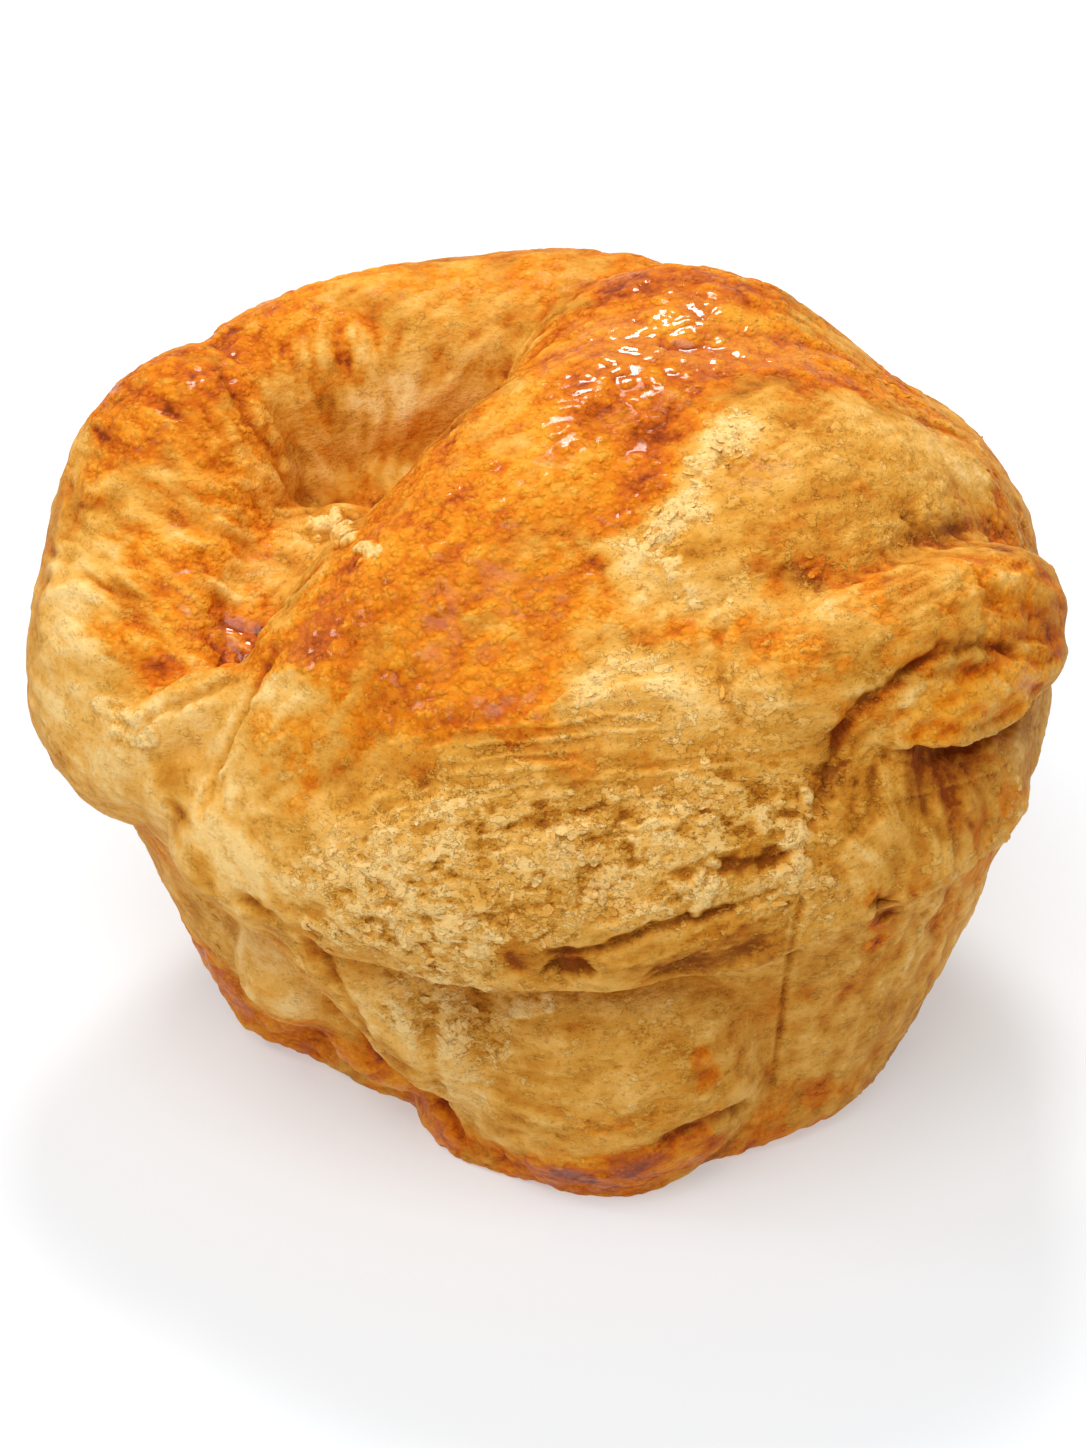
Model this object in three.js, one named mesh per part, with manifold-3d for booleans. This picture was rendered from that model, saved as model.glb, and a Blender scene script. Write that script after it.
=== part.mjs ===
// Chicken pie, baked in a deep round cup tin and turned out.
// One solid: a flared base with a flat bottom, and a lid of puff pastry folded over it in thick
// rolls. A broad flap runs over the top from the back to the front left, a rim roll stands round
// the left and the back, and between them lies a shallow open hollow. A small scroll of pastry
// sticks out at the right. Millimetres, +Z up, origin at the middle of the flat bottom.

import * as THREE from 'three';
import { mergeVertices } from 'three/addons/utils/BufferGeometryUtils.js';
import Module from 'manifold-3d';

const wasm = await Module();
wasm.setup();

// Driving dimensions
const BASE_RADIUS = 29.3; // flat bottom
const HEEL_RADIUS = 31.2; // widest point of the rounded bottom edge
const WALL_FLARE = 0.345; // growth of the radius for each millimetre of height
const WALL_TOP = 28; // height where the wall turns in under the lid
const MOUTH_RADIUS = 40.6; // widest point of the wall
const LID_SEAT = 36.4; // height of the closed top that the lid lies on
const SIDE_RECESS = { azimuth: 224, depth: 8, spread: 21, top: 33 }; // drawn-in left front
const FRONT_RECESS = { azimuth: 262, depth: 5.5, spread: 46, from: 14 }; // behind the pocket
const CREASE = { azimuth: 262, depth: 2, spread: 30, height: 22, width: 4 }; // under the lid
const CORE_HEIGHT = 20; // the rolls lie round this point of the axis
const LAYER = 0.9; // thickness of one puffed pastry layer at a torn edge
const LAYER_EDGES = 5; // layer edges that show across the front
const LAYER_PITCH = 4.4; // degrees of elevation from one to the next
const LAYER_RUN = { from: -122, to: -50, step: 9, low: 13, high: 24 }; // azimuth and elevation
const FLAKES = 7; // loose flakes below the layer edges
const FLAKE_RUN = { from: -128, to: -55, low: -3, high: 9, halfLength: 5 }; // degrees
const GOLDEN = (Math.sqrt(5) - 1) / 2;

const CORE = new THREE.Vector3(0, 0, CORE_HEIGHT);

function closedGeometry(geometry) {
  geometry.deleteAttribute('normal');
  geometry.deleteAttribute('uv');
  return mergeVertices(geometry, 1e-4);
}

function toSolid(geometry) {
  const closed = closedGeometry(geometry);
  return new wasm.Manifold(
    new wasm.Mesh({
      numProp: 3,
      vertProperties: new Float32Array(closed.attributes.position.array),
      triVerts: new Uint32Array(closed.index.array),
    })
  );
}

function toGeometry(solid) {
  const mesh = solid.getMesh();
  const geometry = new THREE.BufferGeometry();
  geometry.setAttribute('position', new THREE.BufferAttribute(mesh.vertProperties, 3));
  geometry.setIndex(new THREE.BufferAttribute(mesh.triVerts, 1));
  geometry.computeVertexNormals();
  return geometry;
}

function reshape(geometry, place) {
  const positions = geometry.attributes.position;
  const point = new THREE.Vector3();
  for (let i = 0; i < positions.count; i++) {
    place(point.fromBufferAttribute(positions, i));
    positions.setXYZ(i, point.x, point.y, point.z);
  }
  return geometry;
}

// The outer skin alone: pockets of air sealed between the rolls are filled, loose scraps dropped
function outerSolid(solid) {
  return solid.decompose().reduce((largest, shell) => (shell.volume() > largest.volume() ? shell : largest));
}

// Angle in degrees from one azimuth to another, between -180 and 180
function turnBetween(from, to) {
  return THREE.MathUtils.euclideanModulo(to - from + 180, 360) - 180;
}

// The baked base: a turned profile, drawn in at the left front and behind the front pocket
function base() {
  const wallRadius = (height) => HEEL_RADIUS - 0.6 + WALL_FLARE * height;
  const profile = new THREE.SplineCurve([
    new THREE.Vector2(BASE_RADIUS, 0),
    new THREE.Vector2(HEEL_RADIUS, 2),
    new THREE.Vector2(wallRadius(5), 5),
    new THREE.Vector2(wallRadius(WALL_TOP / 2), WALL_TOP / 2),
    new THREE.Vector2(MOUTH_RADIUS - 0.6, WALL_TOP),
    new THREE.Vector2(MOUTH_RADIUS, WALL_TOP + 3.5),
    new THREE.Vector2(MOUTH_RADIUS - 3, LID_SEAT - 1.2),
    new THREE.Vector2(MOUTH_RADIUS - 12, LID_SEAT),
  ]);
  const points = [new THREE.Vector2(0, 0), ...profile.getPoints(22), new THREE.Vector2(0, LID_SEAT)];
  const lathe = new THREE.LatheGeometry(points, 60);
  // a lathe turns about Y: stand it on Z
  lathe.rotateX(Math.PI / 2);
  return reshape(lathe, (p) => {
    const radius = Math.hypot(p.x, p.y);
    if (radius < 1e-6) return;
    const azimuth = THREE.MathUtils.radToDeg(Math.atan2(p.y, p.x));
    const near = (recess, power) => Math.exp(-(Math.abs(turnBetween(recess.azimuth, azimuth) / recess.spread) ** power));
    const drawn =
      SIDE_RECESS.depth * near(SIDE_RECESS, 2) * (1 - Math.min(p.z / SIDE_RECESS.top, 1) ** 2) +
      FRONT_RECESS.depth * near(FRONT_RECESS, 4) * Math.min(Math.max(p.z, 0) / FRONT_RECESS.from, 1) ** 0.7 +
      CREASE.depth * near(CREASE, 4) * Math.exp(-(((p.z - CREASE.height) / CREASE.width) ** 2));
    const scale = 1 - drawn / Math.max(radius, BASE_RADIUS);
    p.x *= scale;
    p.y *= scale;
  });
}

// A rounded mound of dough
function mound({ centre: [x, y, z], half: [halfX, halfY, halfZ] }, around, along) {
  const sphere = new THREE.SphereGeometry(1, around, along);
  sphere.rotateX(Math.PI / 2);
  return reshape(sphere, (p) => p.set(x + p.x * halfX, y + p.y * halfY, z + p.z * halfZ));
}

// A roll of dough along a smooth path. Each row holds x, y, z, half width and half thickness;
// the width lies along the surface and the thickness points away from the core.
function roll(rows, bluntness = 3, around = 18, along = 18) {
  const path = new THREE.CatmullRomCurve3(rows.map(([x, y, z]) => new THREE.Vector3(x, y, z)), false, 'catmullrom');
  const girth = new THREE.CatmullRomCurve3(rows.map((row) => new THREE.Vector3(row[3], row[4], 0)), false, 'catmullrom');
  const sphere = new THREE.SphereGeometry(1, around, along);
  const outward = new THREE.Vector3();
  const sideways = new THREE.Vector3();
  return reshape(sphere, (p) => {
    const t = THREE.MathUtils.clamp((1 - p.y) / 2, 0, 1);
    const turn = Math.atan2(p.z, p.x);
    const open = Math.max(1 - Math.abs(2 * t - 1) ** bluntness, 0) ** (1 / bluntness);
    const centre = path.getPoint(t);
    const tangent = path.getTangent(t);
    const half = girth.getPoint(t);
    outward.subVectors(centre, CORE).addScaledVector(tangent, -outward.dot(tangent)).normalize();
    sideways.crossVectors(outward, tangent);
    p.copy(centre);
    if (open > 1e-3) {
      p.addScaledVector(sideways, open * half.x * Math.cos(turn));
      p.addScaledVector(outward, open * half.y * Math.sin(turn));
    }
  });
}

// The lid is one smooth mound. Its surface is found along rays from LID_CENTRE: the far sides of
// these ellipsoids and rolls, blended into each other, with a flat floor that overhangs the front.
const LID_CENTRE = new THREE.Vector3(4, 2, 32);
const LID_BLEND = 5; // width over which two of the shapes flow into each other
const LID_FLOOR = { around: 29.5, front: 24.5, azimuth: 252, spread: 42 };
const LID_CORE = 8; // the ray never ends nearer than this
const CHAIN_LENGTH = 40; // balls along each roll

const LID_MOUNDS = [
  { centre: [15, 2, 28], half: [26, 36, 30.2] }, // crown
  { centre: [0, -7, 30], half: [28, 29, 22] }, // broad front
  { centre: [26.5, 10, 36.5], half: [13, 16, 13.5] }, // right shoulder
  { centre: [9.5, 20, 45.6], half: [16, 13, 13] }, // top of the flap
];

// x, y, z and radius down the middle of each roll
const LID_ROLLS = {
  flap: [
    [-25, -19, 28.5, 7.5],
    [-18, -14.5, 36, 10.5],
    [-7, -7.5, 42, 13],
    [2, 6, 45, 13.3],
    [10, 20, 46, 12],
  ],
  apron: [
    [-25, -19, 28.5, 7.5],
    [-12, -25, 30, 10],
    [3, -27, 30.5, 10],
    [18, -23.5, 31, 10],
    [28, -16, 31, 9],
  ],
};

// Distance along a ray from LID_CENTRE to the far side of an ellipsoid, or 0 where it misses
function farSide(ray, centre, half) {
  let squared = 0;
  let across = 0;
  let constant = -1;
  for (const axis of ['x', 'y', 'z']) {
    const start = (LID_CENTRE[axis] - centre[axis]) / half[axis];
    const step = ray[axis] / half[axis];
    squared += step * step;
    across += step * start;
    constant += start * start;
  }
  const inside = across * across - squared * constant;
  return inside > 0 ? Math.max((Math.sqrt(inside) - across) / squared, 0) : 0;
}

function blendedMax(a, b, width) {
  const near = Math.max(width - Math.abs(a - b), 0) / width;
  return Math.max(a, b) + (near * near * width) / 4;
}

function ballsAlong(rows) {
  const path = new THREE.CatmullRomCurve3(rows.map(([x, y, z]) => new THREE.Vector3(x, y, z)), false, 'catmullrom');
  const girth = new THREE.SplineCurve(rows.map((row, i) => new THREE.Vector2(i, row[3])));
  return Array.from({ length: CHAIN_LENGTH }, (_, i) => {
    const t = i / (CHAIN_LENGTH - 1);
    const radius = girth.getPoint(t).y;
    return { centre: path.getPoint(t), half: new THREE.Vector3(radius, radius, radius) };
  });
}

const lidMounds = LID_MOUNDS.map(({ centre, half }) => ({
  centre: new THREE.Vector3(...centre),
  half: new THREE.Vector3(...half),
}));
const lidChains = Object.values(LID_ROLLS).map(ballsAlong);

function lidReach(ray) {
  let reach = LID_CORE;
  for (const { centre, half } of lidMounds) {
    reach = blendedMax(reach, farSide(ray, centre, half), LID_BLEND);
  }
  for (const chain of lidChains) {
    const furthest = Math.max(...chain.map(({ centre, half }) => farSide(ray, centre, half)));
    reach = blendedMax(reach, furthest, 0.8 * LID_BLEND);
  }
  if (ray.z < 0) {
    const azimuth = THREE.MathUtils.radToDeg(Math.atan2(ray.y, ray.x));
    const near = Math.exp(-((turnBetween(LID_FLOOR.azimuth, azimuth) / LID_FLOOR.spread) ** 4));
    const floor = THREE.MathUtils.lerp(LID_FLOOR.around, LID_FLOOR.front, near);
    reach = Math.min(reach, (LID_CENTRE.z - floor) / -ray.z);
  }
  return reach;
}

function lid() {
  const sphere = new THREE.SphereGeometry(1, 66, 44);
  sphere.rotateX(Math.PI / 2);
  return reshape(sphere, (p) => p.normalize().multiplyScalar(lidReach(p)).add(LID_CENTRE));
}

// Mounds that stand on their own
const HOLLOW_FLOOR = { centre: [-12, 20, 35], half: [18, 13, 8.5] };
const SIDE_PILLOW = { centre: [-22, -15.5, 14.5], half: [6.5, 6.5, 6.5] };
const KNOB = { centre: [-19.5, 9, 40], half: [4, 3.5, 3.2] };

// Rolls of dough, each row x, y, z, half width and half thickness
const ROLLS = {
  nose: [
    [-29, -21, 24, 7, 6],
    [-25, -20, 28.5, 8, 7.5],
    [-19, -17, 33, 8, 8],
  ],
  flapFoot: [
    [-26, -20, 29, 7.5, 7],
    [-20, -21.5, 26, 8.5, 8],
    [-14.5, -23.5, 19.5, 8, 7.5],
    [-10, -25.5, 13, 6.5, 6],
    [-7, -26.5, 8, 5, 4.5],
  ],
  frontPocket: [
    [3, -15, 1.5, 12, 13.5],
    [3, -19, 8, 14.5, 14.5],
    [3.5, -20.5, 16, 15, 14.3],
    [4, -20, 28, 14, 12],
  ],
  leftRim: [
    [-29, -14, 29, 7, 7],
    [-33.5, -8, 31, 10, 9.5],
    [-35.3, 0, 32.7, 11.4, 11],
    [-34.6, 9.5, 37.3, 11, 10.8],
    [-32, 18.5, 43, 10.6, 10.6],
    [-27, 26, 45, 8.5, 8.5],
  ],
  backRim: [
    [-33, 18, 41, 8, 8],
    [-27, 23, 44, 9, 9],
    [-19, 27, 44.5, 9.5, 10],
    [-6, 30, 45.5, 10, 10],
    [6, 30, 46, 10, 10],
    [16, 24, 45, 9, 9],
  ],
  backWall: [
    [-33, 10, 36, 7, 7],
    [-22, 23, 38, 8.5, 8.5],
    [0, 31.5, 38, 8.5, 8.5],
    [18, 26, 38, 8.5, 8.5],
    [29, 14, 36, 7, 7],
  ],
  shelf: [
    [-29, -9, 32, 7.5, 7.5],
    [-27, 0, 34, 8, 8],
    [-25, 9, 35.5, 7.5, 7.5],
    [-21, 14, 34, 6, 6],
  ],
  scroll: [
    [8, -26, 41, 5, 4],
    [18, -23, 45, 6.5, 6],
    [26, -18.5, 46.5, 6.4, 6],
    [32, -12.5, 45.5, 6, 5.6],
    [37, -6.5, 43, 5.4, 5],
    [38.5, -2, 38, 4.6, 4.4],
  ],
  scrollLip: [
    [22, -27, 41.5, 1.2, 1],
    [28, -24, 43, 2.6, 2.6],
    [33.5, -18, 42.8, 3.3, 3.3],
    [38, -11, 41, 3.3, 3.3],
    [40, -5, 39, 3, 3],
  ],
  rope: [
    [-25.5, -13, 40, 3, 3],
    [-31, -14, 37.5, 3.5, 3.5],
    [-36, -13.5, 33, 3.4, 3.4],
    [-38.5, -10.5, 27, 3, 3],
  ],
  underFold: [
    [-21, -16, 19, 4, 4],
    [-17.5, -18, 11.5, 4.5, 4.5],
    [-12, -21, 5, 4, 4],
  ],
  heelLip: [
    [-29, -1, 2, 2.4, 2.4],
    [-25.5, -5, 2, 2.6, 2.6],
    [-20, -11.5, 2, 2.6, 2.6],
    [-14, -16, 2, 2.6, 2.6],
    [-8, -22, 2, 2.6, 2.6],
  ],
};

// Point of the lid's surface at an azimuth and an elevation in degrees, seen from LID_CENTRE
function onLid(azimuth, elevation) {
  const around = THREE.MathUtils.degToRad(azimuth);
  const up = THREE.MathUtils.degToRad(elevation);
  const ray = new THREE.Vector3(Math.cos(up) * Math.cos(around), Math.cos(up) * Math.sin(around), Math.sin(up));
  return ray.multiplyScalar(lidReach(ray)).add(LID_CENTRE);
}

// Edges of the puffed layers across the front of the lid, one above the other
function layerEdge(index) {
  const offset = (index - (LAYER_EDGES - 1) / 2) * LAYER_PITCH;
  const rows = [];
  for (let azimuth = LAYER_RUN.from; azimuth <= LAYER_RUN.to; azimuth += LAYER_RUN.step) {
    const along = (azimuth - LAYER_RUN.from) / (LAYER_RUN.to - LAYER_RUN.from);
    const climb = THREE.MathUtils.lerp(LAYER_RUN.low, LAYER_RUN.high, Math.sin((along * Math.PI) / 2));
    const point = onLid(azimuth, climb + offset);
    rows.push([point.x, point.y, point.z, LAYER, LAYER]);
  }
  return roll(rows, 2, 6, 14);
}

// Loose flakes that stand up from the torn lower part of the lid, spread by the golden ratio
function flake(index) {
  const azimuth = THREE.MathUtils.lerp(FLAKE_RUN.from, FLAKE_RUN.to, (index * GOLDEN) % 1);
  const elevation = THREE.MathUtils.lerp(FLAKE_RUN.low, FLAKE_RUN.high, (index + 0.5) / FLAKES);
  const rows = [-1, 0, 1].map((step) => {
    const point = onLid(azimuth + step * FLAKE_RUN.halfLength, elevation + step);
    return [point.x, point.y, point.z, 1.6 * LAYER, LAYER];
  });
  return roll(rows, 2, 6, 6);
}

function pie() {
  const pieces = [
    base(),
    lid(),
    mound(HOLLOW_FLOOR, 30, 18),
    mound(SIDE_PILLOW, 18, 12),
    mound(KNOB, 16, 10),
    ...Object.values(ROLLS).map((rows) => roll(rows)),
    ...Array.from({ length: LAYER_EDGES }, (_, index) => layerEdge(index)),
    ...Array.from({ length: FLAKES }, (_, index) => flake(index)),
  ];
  const dough = pieces.map(toSolid).reduce((whole, piece) => whole.add(piece));

  // stand it flat: everything below the table plane goes
  const table = new THREE.BoxGeometry(4 * MOUTH_RADIUS, 4 * MOUTH_RADIUS, MOUTH_RADIUS);
  table.translate(0, 0, -MOUTH_RADIUS / 2);
  return toGeometry(outerSolid(dough.subtract(toSolid(table))));
}

const crust = new THREE.MeshStandardMaterial({ color: 0xd8923a, roughness: 0.5, metalness: 0 });

const chickenPie = new THREE.Group();
const body = new THREE.Mesh(pie(), crust);
body.name = 'pie';
chickenPie.add(body);

export default chickenPie;
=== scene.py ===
import math

import bmesh
import bpy
import numpy as np
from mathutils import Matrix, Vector


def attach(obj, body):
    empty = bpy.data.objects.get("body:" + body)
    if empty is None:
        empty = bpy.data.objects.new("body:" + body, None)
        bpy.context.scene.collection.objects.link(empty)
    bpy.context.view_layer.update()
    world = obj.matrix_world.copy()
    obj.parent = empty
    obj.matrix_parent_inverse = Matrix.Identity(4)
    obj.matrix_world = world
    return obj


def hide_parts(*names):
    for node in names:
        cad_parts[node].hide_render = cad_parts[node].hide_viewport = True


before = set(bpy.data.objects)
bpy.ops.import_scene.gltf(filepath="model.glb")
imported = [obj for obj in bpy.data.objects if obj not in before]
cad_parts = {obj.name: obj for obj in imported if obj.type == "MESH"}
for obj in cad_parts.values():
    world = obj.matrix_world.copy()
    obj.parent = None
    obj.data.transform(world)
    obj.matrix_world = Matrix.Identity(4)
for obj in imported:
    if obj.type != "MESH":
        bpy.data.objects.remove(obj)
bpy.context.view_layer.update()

# ---- View -------------------------------------------------------------------------------------
# The photograph looks down on the pie at 33 degrees from about half a metre, through a long
# lens. These numbers place the camera, and later turn a pixel of the photograph into a place
# on the crust.
MM = 0.001
PHOTO_WIDTH = 1086
PHOTO_HEIGHT = 1448
ELEVATION = math.radians(33)
DISTANCE = 480 * MM
PIXEL = 0.0857 * MM  # one pixel of the photograph, at the target
TARGET = np.array((-2.3, 0, 27.2)) * MM
SENSOR = 36  # millimetres, along the photograph's height

RIGHT = np.array((1.0, 0.0, 0.0))
UP = np.array((0.0, math.sin(ELEVATION), math.cos(ELEVATION)))
BACK = np.array((0.0, -math.cos(ELEVATION), math.sin(ELEVATION)))
EYE = TARGET + BACK * DISTANCE
FOCAL = DISTANCE / PIXEL


def aim(thing, place, at):
    """Puts a lamp or camera somewhere and points it at a place."""
    thing.location = place
    thing.rotation_mode = "QUATERNION"
    thing.rotation_quaternion = (Vector(at) - Vector(place)).to_track_quat("-Z", "Y")


def add(name, data):
    thing = bpy.data.objects.new(name, data)
    bpy.context.scene.collection.objects.link(thing)
    return thing


lens = bpy.data.cameras.new("camera")
lens.sensor_width = SENSOR
lens.lens = SENSOR * FOCAL / PHOTO_HEIGHT
camera = add("camera", lens)
aim(camera, EYE, TARGET)
bpy.context.scene.camera = camera
bpy.context.scene.view_settings.view_transform = "Standard"

# ---- Floor and light --------------------------------------------------------------------------
# A plain near-white floor under a soft studio light: a lamp behind the pie that glints on its
# top, a broad one above, a small one at its left, and an even pale surround.
FLOOR_SIZE = 3.0
FLOOR_COLOUR = (0.50, 0.52, 0.54, 1)
FLOOR_GLOW = 0.40  # lifts the shadows, as a lit table does
SURROUND_COLOUR = (0.98, 0.99, 1, 1)
SURROUND_LIGHT = 0.38
LAMPS = {  # places and sizes in metres
    "back": {"at": (0.0, 0.40, 0.52), "size": 0.14, "watts": 2.5},
    "top": {"at": (-0.08, -0.30, 0.67), "size": 0.50, "watts": 3.35},
    "left": {"at": (-0.50, -0.02, 0.48), "size": 0.13, "watts": 0.55},
}

plane = bpy.data.meshes.new("floor")
half = FLOOR_SIZE / 2
square = [(-half, -half, 0), (half, -half, 0), (half, half, 0), (-half, half, 0)]
plane.from_pydata(square, [], [(0, 1, 2, 3)])
floor = add("floor", plane)
paper = bpy.data.materials.new("pale paper")
paper.use_nodes = True
paper_sockets = paper.node_tree.nodes["Principled BSDF"].inputs
paper_sockets["Base Color"].default_value = FLOOR_COLOUR
paper_sockets["Roughness"].default_value = 0.9
paper_sockets["Emission Color"].default_value = (1, 1, 1, 1)
paper_sockets["Emission Strength"].default_value = FLOOR_GLOW
plane.materials.append(paper)

world = bpy.data.worlds.new("surround")
world.use_nodes = True
world.node_tree.nodes["Background"].inputs["Color"].default_value = SURROUND_COLOUR
world.node_tree.nodes["Background"].inputs["Strength"].default_value = SURROUND_LIGHT
bpy.context.scene.world = world

for name, lamp in LAMPS.items():
    light = bpy.data.lights.new(name, "AREA")
    light.size = lamp["size"]
    light.energy = lamp["watts"]
    aim(add(name, light), lamp["at"], TARGET)

# ---- Dough ------------------------------------------------------------------------------------
# The whole pie is one piece of puff pastry: a flared base baked in a deep tin, and a lid that
# was folded over it in thick rolls. Base, lid and rolls are made at the sizes of the solid
# part, joined into one skin, rounded where they meet, and split finely enough for the flakes.
CORE = np.array((0.0, 0.0, 20.0))  # the rolls lie round this point

# side of a skin face in millimetres, and passes that round the skin at that size: first for the
# seams between the rolls, then for the finished skin
SKINS = ((0.5, 10), (0.29, 3))

BASE_RADIUS = 29.3
HEEL_RADIUS = 31.2
WALL_FLARE = 0.345  # growth of the radius for each millimetre of height
WALL_TOP = 28
MOUTH_RADIUS = 40.6
ROUNDED_IN = 0.6  # how far the wall lies inside its widest edges
LID_SEAT = 36.4
SIDE_RECESS = {"azimuth": 224, "depth": 8, "spread": 21, "top": 33}
FRONT_RECESS = {"azimuth": 262, "depth": 5.5, "spread": 46, "from": 14}
CREASE = {"azimuth": 262, "depth": 2, "spread": 30, "height": 22, "width": 4}

LID_CENTRE = np.array((4.0, 2.0, 32.0))
LID_BLEND = 5  # width over which mounds flow into each other
LID_ROLL_BLEND = 4  # and rolls into mounds
LID_FLOOR = {"around": 29.5, "front": 24.5, "azimuth": 252, "spread": 42}
LID_CORE = 8  # the lid's surface is never nearer to its centre
LID_MOUNDS = [
    ((15, 2, 28), (26, 36, 30.2)),  # crown
    ((0, -7, 30), (28, 29, 22)),  # broad front
    ((26.5, 10, 36.5), (13, 16, 13.5)),  # right shoulder
    ((9.5, 20, 45.6), (16, 13, 13)),  # top of the flap
]
# x, y, z and radius down the middle of each roll
LID_ROLLS = {
    "flap": [
        (-25, -19, 28.5, 7.5), (-18, -14.5, 36, 10.5), (-7, -7.5, 42, 13), (2, 6, 45, 13.3), (10, 20, 46, 12),
    ],
    "apron": [
        (-25, -19, 28.5, 7.5), (-12, -25, 30, 10), (3, -27, 30.5, 10), (18, -23.5, 31, 10), (28, -16, 31, 9),
    ],
}

# centre and half sizes of the mounds that stand on their own
MOUNDS = {
    "hollow floor": ((-12, 20, 35), (18, 13, 8.5)),
    "side pillow": ((-22, -15.5, 14.5), (6.5, 6.5, 6.5)),
    "knob": ((-19.5, 9, 40), (4, 3.5, 3.2)),
}

# x, y, z, half width and half thickness down the middle of each roll
ROLLS = {
    "nose": [(-29, -21, 24, 7, 6), (-25, -20, 28.5, 8, 7.5), (-19, -17, 33, 8, 8)],
    "flap foot": [
        (-26, -20, 29, 7.5, 7), (-19.5, -21.5, 26, 7.6, 8), (-13.5, -23.8, 19.5, 6.8, 7.5),
        (-9.5, -25.5, 13, 6, 6), (-7, -26.5, 8, 4.8, 4.5),
    ],
    "front pocket": [
        (3, -15, 1.5, 12, 13.5), (3, -19, 8, 14.5, 14.5), (3.5, -20.5, 16, 15, 14.3), (4, -20, 28, 14, 12),
    ],
    "left rim": [
        (-29, -14, 29, 7, 7), (-33.5, -8, 31, 10, 9.5), (-35.3, 0, 32.7, 11.4, 11),
        (-34.6, 9.5, 37.3, 11, 10.8), (-32, 18.5, 43, 10.6, 10.6), (-27, 26, 45, 8.5, 8.5),
    ],
    "back rim": [
        (-33, 18, 41, 8, 8), (-27, 23, 44, 9, 9), (-19, 27, 44.5, 9.5, 10),
        (-6, 30, 45.5, 10, 10), (6, 30, 46, 10, 10), (16, 24, 45, 9, 9),
    ],
    "back wall": [
        (-33, 10, 36, 7, 7), (-22, 23, 38, 8.5, 8.5), (0, 31.5, 38, 8.5, 8.5),
        (18, 26, 38, 8.5, 8.5), (29, 14, 36, 7, 7),
    ],
    "shelf": [(-29, -9, 32, 7.5, 7.5), (-27, 0, 34, 8, 8), (-25, 9, 35.5, 7.5, 7.5), (-21, 14, 34, 6, 6)],
    "scroll": [
        (8, -26, 41, 5, 4), (18, -23, 45, 6.5, 6), (26, -18.5, 46.5, 6.4, 6),
        (32, -12.5, 45.5, 6, 5.6), (37, -6.5, 43, 5.4, 5), (38.5, -2, 38, 4.6, 4.4),
    ],
    "scroll lip": [
        (22, -27, 41.5, 1.2, 1), (28, -24, 43, 2.6, 2.6), (33.5, -18, 42.8, 3.3, 3.3),
        (38, -11, 41, 3.3, 3.3), (40, -5, 39, 3, 3),
    ],
    "rope": [
        (-25.5, -13, 40, 3, 3), (-31, -14, 37.5, 3.5, 3.5),
        (-36, -13.5, 33, 3.4, 3.4), (-38.5, -10.5, 27, 3, 3),
    ],
    "under fold": [(-21, -16, 19, 4, 4), (-17.5, -18, 11.5, 4.5, 4.5), (-12, -21, 5, 4, 4)],
    "peeled flake": [(-38, 18, 47, 1.6, 1.1), (-41.3, 18, 44.5, 1.5, 1.1), (-43.8, 18, 39.5, 1.0, 0.9)],
    "heel lip": [
        (-29, -1, 2, 2.4, 2.4), (-25.5, -5, 2, 2.6, 2.6), (-20, -11.5, 2, 2.6, 2.6),
        (-14, -16, 2, 2.6, 2.6), (-8, -22, 2, 2.6, 2.6),
    ],
}


def unit(vectors):
    return vectors / np.linalg.norm(vectors, axis=-1, keepdims=True)


def spline(rows, t):
    """Rows joined by a smooth curve, at t from 0 to 1."""
    rows = np.asarray(rows, float)
    place = (len(rows) - 1) * t
    cell = np.minimum(place.astype(int), len(rows) - 2)
    f = (place - cell)[:, None]
    ends = np.vstack([2 * rows[0] - rows[1], rows, 2 * rows[-1] - rows[-2]])
    before, here, there, after = (ends[cell + k] for k in range(4))
    leaving = (there - before) / 2
    arriving = (after - here) / 2
    rise = there - here
    bend = 3 * rise - 2 * leaving - arriving
    return here + leaving * f + bend * f**2 + (leaving + arriving - 2 * rise) * f**3


def closed_rings(rings):
    """Vertices and faces of a closed skin: rings[i, j], whose first and last ring are a point each."""
    count, around = rings.shape[:2]
    verts = np.vstack([rings[0, :1], rings[1:-1].reshape(-1, 3), rings[-1, :1]])
    ring = 1 + np.arange(count - 2)[:, None] * around + np.arange(around)[None]
    turned = np.roll(ring, -1, axis=1)
    last = len(verts) - 1
    caps = [(0, a, b) for a, b in zip(ring[0], turned[0])]
    caps += [(last, b, a) for a, b in zip(ring[-1], turned[-1])]
    sides = np.stack([ring[:-1], ring[1:], turned[1:], turned[:-1]], -1).reshape(-1, 4)
    return verts, caps + sides.tolist()


def ball_rings(along, around):
    polar = np.linspace(0, np.pi, along + 1)[:, None]
    turn = np.linspace(0, 2 * np.pi, around, endpoint=False)[None]
    out = np.sin(polar)
    return np.stack([out * np.cos(turn), out * np.sin(turn), np.cos(polar) + 0 * turn], -1)


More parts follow.
